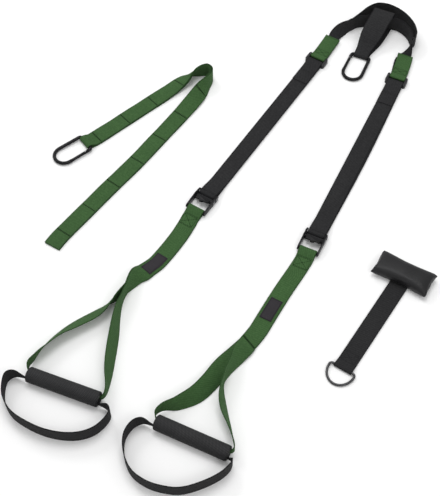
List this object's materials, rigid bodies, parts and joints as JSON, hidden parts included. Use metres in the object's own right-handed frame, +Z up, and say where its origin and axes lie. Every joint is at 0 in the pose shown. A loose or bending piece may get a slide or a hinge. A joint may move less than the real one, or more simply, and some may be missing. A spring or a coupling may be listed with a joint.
{
  "type": "suspension trainer",
  "caption": "Adjustable two-leg strap trainer with grips and foot cradles, cam buckles, a looped anchor strap and a door anchor, each hung on a carabiner or ring.",
  "frame": {"origin": "middle of the footprint of everything that lies on the floor, on the floor", "axes": "+Y from the handles to the yoke, +X to the right seen from above, +Z up from the floor"},
  "size_m": [0.8848, 1.338, 0.044],
  "materials": {
    "green_webbing": "woven",
    "black_webbing": "woven",
    "label_cloth": "matt woven patch",
    "pad_cover": "smooth nylon",
    "black_metal": "gloss",
    "steel": "dark bright",
    "black_plastic": "satin",
    "grip_rubber": "knurled"
  },
  "bodies": {
    "straps": {"yoke_inner_band": "black_webbing", "yoke_outer_band": "black_webbing", "locking_strap": "black_webbing", "left_main_strap": "black_webbing", "right_main_strap": "black_webbing", "anchor_strap": "green_webbing", "door_pad": "pad_cover", "door_strap": "black_webbing"},
    "main_hook": {"main_carabiner": "black_metal", "main_gate_rivet": "steel"},
    "main_hook_gate": {"main_gate": "black_metal"},
    "anchor_hook": {"anchor_carabiner": "black_metal", "anchor_gate_rivet": "steel"},
    "anchor_hook_gate": {"anchor_gate": "black_metal"},
    "ring": {"door_ring": "steel"},
    "left_buckle": {"left_buckle_frame": "black_metal", "left_grip_bar": "steel", "left_cam_pin": "steel", "left_cam_spring": "steel", "left_strap_turn": "black_webbing", "left_lower_strap": "green_webbing", "left_label": "label_cloth"},
    "left_lever": {"left_cam_lever": "black_metal"},
    "left_slider": {"left_keeper": "black_plastic", "left_pull_tab": "green_webbing", "left_tail": "black_webbing"},
    "left_handle": {"left_grip": "grip_rubber", "left_grip_tube": "black_plastic"},
    "left_foot_loop": {"left_cradle": "black_webbing"},
    "right_buckle": {"right_buckle_frame": "black_metal", "right_grip_bar": "steel", "right_cam_pin": "steel", "right_cam_spring": "steel", "right_strap_turn": "black_webbing", "right_lower_strap": "green_webbing", "right_label": "label_cloth"},
    "right_lever": {"right_cam_lever": "black_metal"},
    "right_slider": {"right_keeper": "black_plastic", "right_pull_tab": "green_webbing", "right_tail": "black_webbing"},
    "right_handle": {"right_grip": "grip_rubber", "right_grip_tube": "black_plastic"},
    "right_foot_loop": {"right_cradle": "black_webbing"}
  },
  "joints": [
    {"name": "main_hook_swing", "type": "hinge", "parent": "straps", "child": "main_hook", "pos_m": [0.06731, 0.50578, 0.0061], "axis": [0.9997, 0.0262, 0], "range_deg": [-75, 75]},
    {"name": "main_gate_swing", "type": "hinge", "parent": "main_hook", "child": "main_hook_gate", "pos_m": [0.04476, 0.48839, 0.0057], "axis": [0.0006, -0.0239, 0.9997], "range_deg": [0, 25], "stiffness_Nm_per_rad": 0.1},
    {"name": "anchor_hook_swing", "type": "hinge", "parent": "straps", "child": "anchor_hook", "pos_m": [-0.39019, -0.01822, 0.007], "axis": [0.8949, -0.4462, 0], "range_deg": [-75, 75]},
    {"name": "anchor_gate_swing", "type": "hinge", "parent": "anchor_hook", "child": "anchor_hook_gate", "pos_m": [-0.37709, -0.04351, 0.00643], "axis": [-0.0152, -0.0305, 0.9994], "range_deg": [-25, 0], "stiffness_Nm_per_rad": 0.1},
    {"name": "door_ring_swing", "type": "hinge", "parent": "straps", "child": "ring", "pos_m": [0.34418, -0.29021, 0.0046], "axis": [0.9914, -0.1305, 0], "range_deg": [-75, 75]},
    {"name": "left_length", "type": "slide", "parent": "straps", "child": "left_buckle", "axis": [-0.1132, -0.9936, 0], "range_m": [0, 0.33], "deforming": ["left_main_strap"]},
    {"name": "left_slider_follow", "type": "slide", "parent": "left_buckle", "child": "left_slider", "axis": [-0.1132, -0.9936, 0], "range_m": [0, 0.331], "deforming": ["left_tail"]},
    {"name": "left_cam_press", "type": "hinge", "parent": "left_buckle", "child": "left_lever", "pos_m": [-0.07934, -0.04349, 0.0078], "axis": [0.9936, -0.1132, 0], "range_deg": [0, 24], "stiffness_Nm_per_rad": 0.02},
    {"name": "left_grip_spin", "type": "hinge", "parent": "left_buckle", "child": "left_handle", "pos_m": [-0.11879, -0.56639, 0.0155], "axis": [0.9963, 0.0854, 0], "continuous": true},
    {"name": "left_cradle_swing", "type": "hinge", "parent": "left_buckle", "child": "left_foot_loop", "pos_m": [-0.11879, -0.56639, 0.0155], "axis": [0.9963, 0.0854, 0], "range_deg": [-50, 50]},
    {"name": "right_length", "type": "slide", "parent": "straps", "child": "right_buckle", "axis": [0.007, -1, 0], "range_m": [0, 0.33], "deforming": ["right_main_strap"]},
    {"name": "right_slider_follow", "type": "slide", "parent": "right_buckle", "child": "right_slider", "axis": [0.007, -1, 0], "range_m": [0, 0.331], "deforming": ["right_tail"]},
    {"name": "right_cam_press", "type": "hinge", "parent": "right_buckle", "child": "right_lever", "pos_m": [0.17494, -0.03621, 0.0078], "axis": [1, 0.007, 0], "range_deg": [0, 24], "stiffness_Nm_per_rad": 0.02},
    {"name": "right_grip_spin", "type": "hinge", "parent": "right_buckle", "child": "right_handle", "pos_m": [0.14854, -0.5514, 0.0155], "axis": [0.9998, 0.0174, 0], "continuous": true},
    {"name": "right_cradle_swing", "type": "hinge", "parent": "right_buckle", "child": "right_foot_loop", "pos_m": [0.14854, -0.5514, 0.0155], "axis": [0.9998, 0.0174, 0], "range_deg": [-50, 50]}
  ],
  "couplings": [
    {"joint": "left_slider_follow", "follows": "left_length", "ratio": 1},
    {"joint": "right_slider_follow", "follows": "right_length", "ratio": 1}
  ]
}
